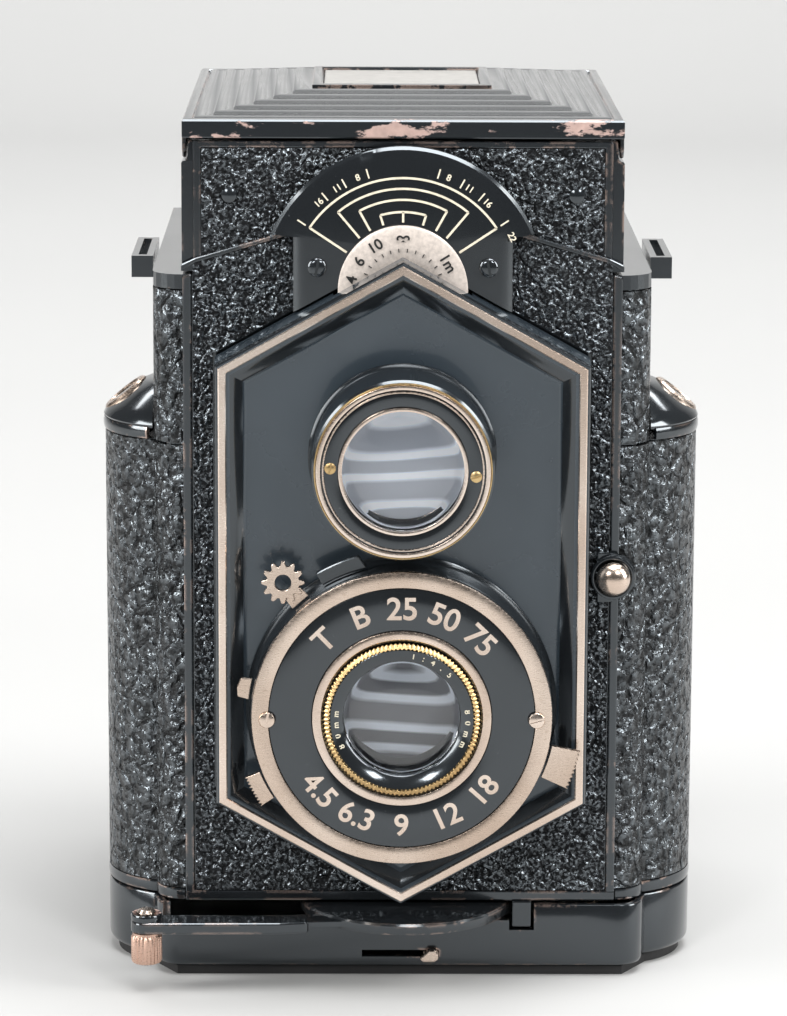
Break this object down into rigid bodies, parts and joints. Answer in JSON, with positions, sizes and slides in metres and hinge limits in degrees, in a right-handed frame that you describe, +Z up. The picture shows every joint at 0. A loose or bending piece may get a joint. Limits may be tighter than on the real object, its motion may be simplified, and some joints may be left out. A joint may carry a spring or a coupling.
{
  "type": "twin lens reflex camera",
  "caption": "Box camera with two stacked lenses on a hexagonal focusing panel, spool towers at the sides and a folding finder hood.",
  "frame": {"origin": "centre of the footprint, on the surface the camera stands on", "axes": "+Z up, -Y towards the lenses, +X to the right when facing the lenses"},
  "size_m": [0.1006, 0.1074, 0.148],
  "materials": {
    "enamel": "glossy stoved black enamel",
    "satin": "matt black inside paint",
    "leatherette": "pebbled black covering",
    "nickel": "warm satin nickel plate",
    "brass": "worn brass",
    "steel": "plain steel",
    "lens_glass": "clear lens glass",
    "ground_glass": "ground on one side",
    "silvered": "front silvered",
    "spool_wood": "turned spool"
  },
  "bodies": {
    "camera_body": {"body_shell": "enamel", "front_leather": "leatherette", "side_leather_left": "leatherette", "side_leather_right": "leatherette", "tower_cap_left": "enamel", "tower_cap_right": "enamel", "window_ring_left": "nickel", "window_ring_right": "nickel", "strap_lug_left": "enamel", "strap_lug_right": "enamel", "taking_chamber": "satin", "film_gate": "steel", "mirror": "silvered", "mirror_carrier": "satin", "focusing_screen": "ground_glass", "screen_frame": "satin", "light_collar": "satin", "dof_plate": "enamel", "release_plate": "enamel", "hood_housing": "enamel", "hood_leather": "leatherette"},
    "focusing_lever": {"focus_lever": "enamel", "focus_knob": "nickel"},
    "focusing_panel": {"lens_panel": "enamel", "panel_trim": "nickel", "viewing_barrel": "enamel", "viewing_ring": "nickel", "viewing_lens": "lens_glass", "shutter_housing": "enamel", "shutter_face": "enamel", "face_ring": "nickel", "taking_mount": "brass", "taking_lens": "lens_glass", "shutter_blades": "steel", "face_screw_left": "nickel", "face_screw_right": "nickel"},
    "rear_cover_and_base": {"rear_cover": "enamel", "base_tray": "enamel", "bottom_plate": "enamel", "tripod_bush": "nickel", "pressure_plate": "satin"},
    "distance_disc": {"distance_disc": "nickel"},
    "hood_lid": {"hood_lid": "enamel"},
    "side_flap_left": {"side_flap_left": "enamel"},
    "side_flap_right": {"side_flap_right": "enamel"},
    "front_flap": {"front_flap": "enamel"},
    "speed_lever": {"speed_lever": "nickel"},
    "cocking_lever": {"cocking_lever": "nickel"},
    "release_lever": {"release_lever": "nickel"},
    "aperture_lever": {"aperture_lever": "nickel"},
    "release_button": {"release_button": "nickel"},
    "latch_slider": {"latch_slider": "nickel"},
    "wind_knob": {"wind_knob": "nickel"},
    "take_up_spool": {"take_up_spool": "spool_wood"},
    "supply_spool": {"supply_spool": "spool_wood"},
    "film_roller_left": {"film_roller_left": "steel"},
    "film_roller_right": {"film_roller_right": "steel"},
    "counter_dial_right": {"counter_dial_right": "satin"},
    "magnifier": {"magnifier_frame": "satin", "magnifier_lens": "lens_glass"}
  },
  "joints": [
    {"name": "focus_lever_swing", "type": "hinge", "parent": "camera_body", "child": "focusing_lever", "pos_m": [0.001, -0.0253, 0.0115], "axis": [0, 0, 1], "range_deg": [0, 100]},
    {"name": "panel_focus_slide", "type": "slide", "parent": "camera_body", "child": "focusing_panel", "axis": [0, -1, 0], "range_m": [0, 0.007]},
    {"name": "distance_disc_turn", "type": "hinge", "parent": "camera_body", "child": "distance_disc", "pos_m": [0, -0.0352, 0.1176], "axis": [0, 1, 0], "range_deg": [0, 325]},
    {"name": "lid_hinge", "type": "hinge", "parent": "camera_body", "child": "hood_lid", "pos_m": [0, 0.0527, 0.1416], "axis": [-1, 0, 0], "range_deg": [0, 100]},
    {"name": "side_flap_left_hinge", "type": "hinge", "parent": "camera_body", "child": "side_flap_left", "pos_m": [-0.0332, 0.0087, 0.137], "axis": [0, -1, 0], "range_deg": [0, 90]},
    {"name": "side_flap_right_hinge", "type": "hinge", "parent": "camera_body", "child": "side_flap_right", "pos_m": [0.0332, 0.0087, 0.137], "axis": [0, 1, 0], "range_deg": [0, 90]},
    {"name": "front_flap_hinge", "type": "hinge", "parent": "camera_body", "child": "front_flap", "pos_m": [0, -0.0273, 0.135], "axis": [1, 0, 0], "range_deg": [0, 90]},
    {"name": "magnifier_hinge", "type": "hinge", "parent": "hood_lid", "child": "magnifier", "pos_m": [0, 0.0187, 0.1396], "axis": [1, 0, 0], "range_deg": [0, 90]},
    {"name": "speed_lever_swing", "type": "hinge", "parent": "focusing_panel", "child": "speed_lever", "pos_m": [0, -0.0451, 0.049], "axis": [0, -1, 0], "range_deg": [0, 20]},
    {"name": "cocking_lever_swing", "type": "hinge", "parent": "focusing_panel", "child": "cocking_lever", "pos_m": [0, -0.0451, 0.049], "axis": [0, -1, 0], "range_deg": [0, 7]},
    {"name": "release_lever_swing", "type": "hinge", "parent": "focusing_panel", "child": "release_lever", "pos_m": [0, -0.0451, 0.049], "axis": [0, -1, 0], "range_deg": [0, 15]},
    {"name": "aperture_lever_swing", "type": "hinge", "parent": "focusing_panel", "child": "aperture_lever", "pos_m": [0, -0.0451, 0.049], "axis": [0, -1, 0], "range_deg": [-30, 12]},
    {"name": "release_button_press", "type": "slide", "parent": "camera_body", "child": "release_button", "axis": [0, 1, 0], "range_m": [0, 0.0015], "stiffness_N_per_m": 150},
    {"name": "rear_cover_slide", "type": "slide", "parent": "camera_body", "child": "rear_cover_and_base", "axis": [0, 0, -1], "range_m": [0, 0.11]},
    {"name": "latch_slide", "type": "slide", "parent": "rear_cover_and_base", "child": "latch_slider", "axis": [-1, 0, 0], "range_m": [0, 0.008]},
    {"name": "wind_knob_turn", "type": "hinge", "parent": "rear_cover_and_base", "child": "wind_knob", "pos_m": [0.0354, -0.0123, 0.001], "axis": [0, 0, 1], "continuous": true},
    {"name": "take_up_spool_turn", "type": "hinge", "parent": "camera_body", "child": "take_up_spool", "pos_m": [0.0354, -0.0123, 0.049], "axis": [0, 0, 1], "continuous": true},
    {"name": "supply_spool_turn", "type": "hinge", "parent": "camera_body", "child": "supply_spool", "pos_m": [-0.0354, -0.0123, 0.049], "axis": [0, 0, 1], "continuous": true},
    {"name": "film_roller_left_turn", "type": "hinge", "parent": "camera_body", "child": "film_roller_left", "pos_m": [-0.036, 0.0397, 0.049], "axis": [0, 0, 1], "continuous": true},
    {"name": "film_roller_right_turn", "type": "hinge", "parent": "camera_body", "child": "film_roller_right", "pos_m": [0.036, 0.0397, 0.049], "axis": [0, 0, 1], "continuous": true},
    {"name": "counter_dial_turn", "type": "hinge", "parent": "camera_body", "child": "counter_dial_right", "pos_m": [0.04625, -0.0123, 0.09625], "axis": [0.6259, 0, 0.7799], "continuous": true}
  ],
  "couplings": [
    {"joint": "focus_lever_swing", "follows": "panel_focus_slide", "rad_per_m": 249.33},
    {"joint": "distance_disc_turn", "follows": "panel_focus_slide", "rad_per_m": 810.33},
    {"joint": "side_flap_left_hinge", "follows": "lid_hinge", "ratio": 0.9},
    {"joint": "side_flap_right_hinge", "follows": "lid_hinge", "ratio": 0.9},
    {"joint": "front_flap_hinge", "follows": "lid_hinge", "ratio": 0.9},
    {"joint": "magnifier_hinge", "follows": "lid_hinge", "ratio": 0.9},
    {"joint": "take_up_spool_turn", "follows": "wind_knob_turn", "ratio": 1},
    {"joint": "counter_dial_turn", "follows": "wind_knob_turn", "ratio": 0.1}
  ]
}
